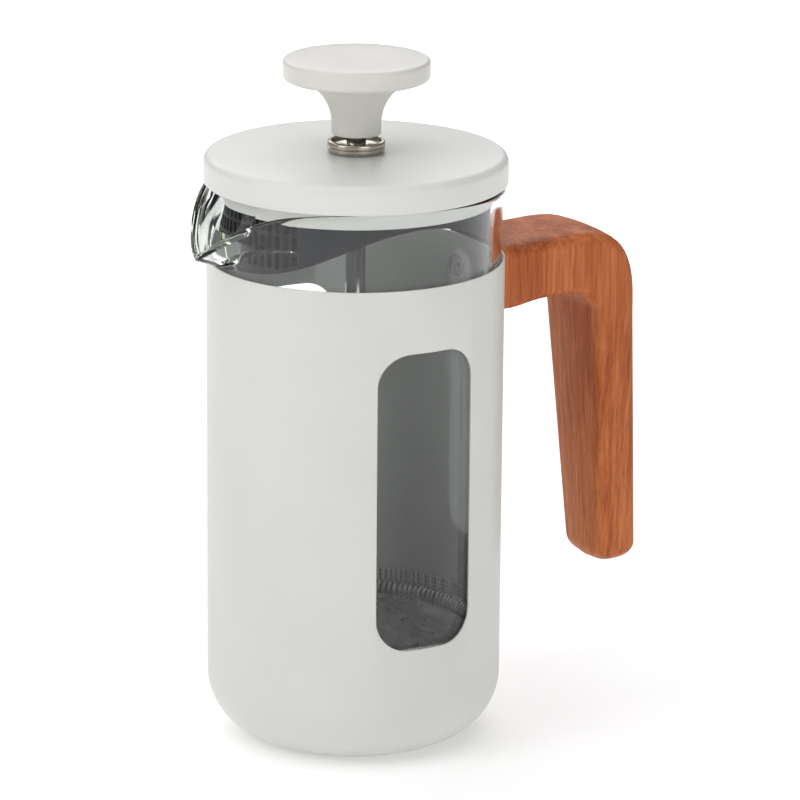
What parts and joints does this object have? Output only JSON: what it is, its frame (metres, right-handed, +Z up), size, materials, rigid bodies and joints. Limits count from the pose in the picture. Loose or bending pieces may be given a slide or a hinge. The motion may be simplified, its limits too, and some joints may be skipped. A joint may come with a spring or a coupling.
{
  "type": "french press",
  "caption": "Small french press: glass beaker in a windowed steel jacket with a wooden handle, a shallow lid with a spout strainer, and a plunger with a spring-edged filter.",
  "frame": {"origin": "middle of the jacket's flat foot, on the table", "axes": "+Z up along the plunger; +X towards the handle, -X towards the spout; the jacket's windows face -Y and +Y"},
  "size_m": [0.1227, 0.0732, 0.1684],
  "materials": {
    "jacket_paint": "satin off-white powder coat",
    "cushion_silicone": "matte grey silicone",
    "handle_wood": "oiled reddish hardwood",
    "screw_steel": "satin stainless steel",
    "insert_brass": "turned brass",
    "beaker_glass": "clear borosilicate glass",
    "collar_nickel": "turned nickel",
    "washer_silicone": "matte silicone",
    "lid_paint": "satin off-white powder coat",
    "liner_plastic": "matte black plastic",
    "knob_plastic": "satin warm-white plastic",
    "rod_steel": "polished stainless steel",
    "filter_steel": "satin stainless steel",
    "spring_steel": "bright drawn spring wire",
    "mesh_steel": "woven steel gauze"
  },
  "bodies": {
    "jug": {"jacket": "jacket_paint", "base_cushion": "cushion_silicone", "handle": "handle_wood", "handle_screws": "screw_steel", "handle_inserts": "insert_brass"},
    "beaker": {"glass_beaker": "beaker_glass"},
    "lid_bush": {"lid_collar": "collar_nickel", "collar_washer": "washer_silicone", "collar_nut": "collar_nickel"},
    "lid": {"lid_cap": "lid_paint", "strainer_liner": "liner_plastic"},
    "plunger": {"knob": "knob_plastic", "knob_insert": "insert_brass", "plunger_rod": "rod_steel", "rod_nut": "filter_steel", "spring_plate": "filter_steel", "garter_spring": "spring_steel", "filter_mesh": "mesh_steel", "cross_plate": "filter_steel", "cross_hub": "filter_steel"}
  },
  "joints": [
    {"name": "beaker_lift", "type": "slide", "parent": "jug", "child": "beaker", "axis": [0, 0, 1], "range_m": [0, 0.125]},
    {"name": "lid_lift", "type": "slide", "parent": "beaker", "child": "lid_bush", "axis": [0, 0, 1], "range_m": [0, 0.13]},
    {"name": "lid_turn", "type": "hinge", "parent": "lid_bush", "child": "lid", "pos_m": [0, 0, 0.14], "axis": [0, 0, 1], "continuous": true},
    {"name": "plunger_slide", "type": "slide", "parent": "lid_bush", "child": "plunger", "axis": [0, 0, 1], "range_m": [0, 0.09]}
  ]
}
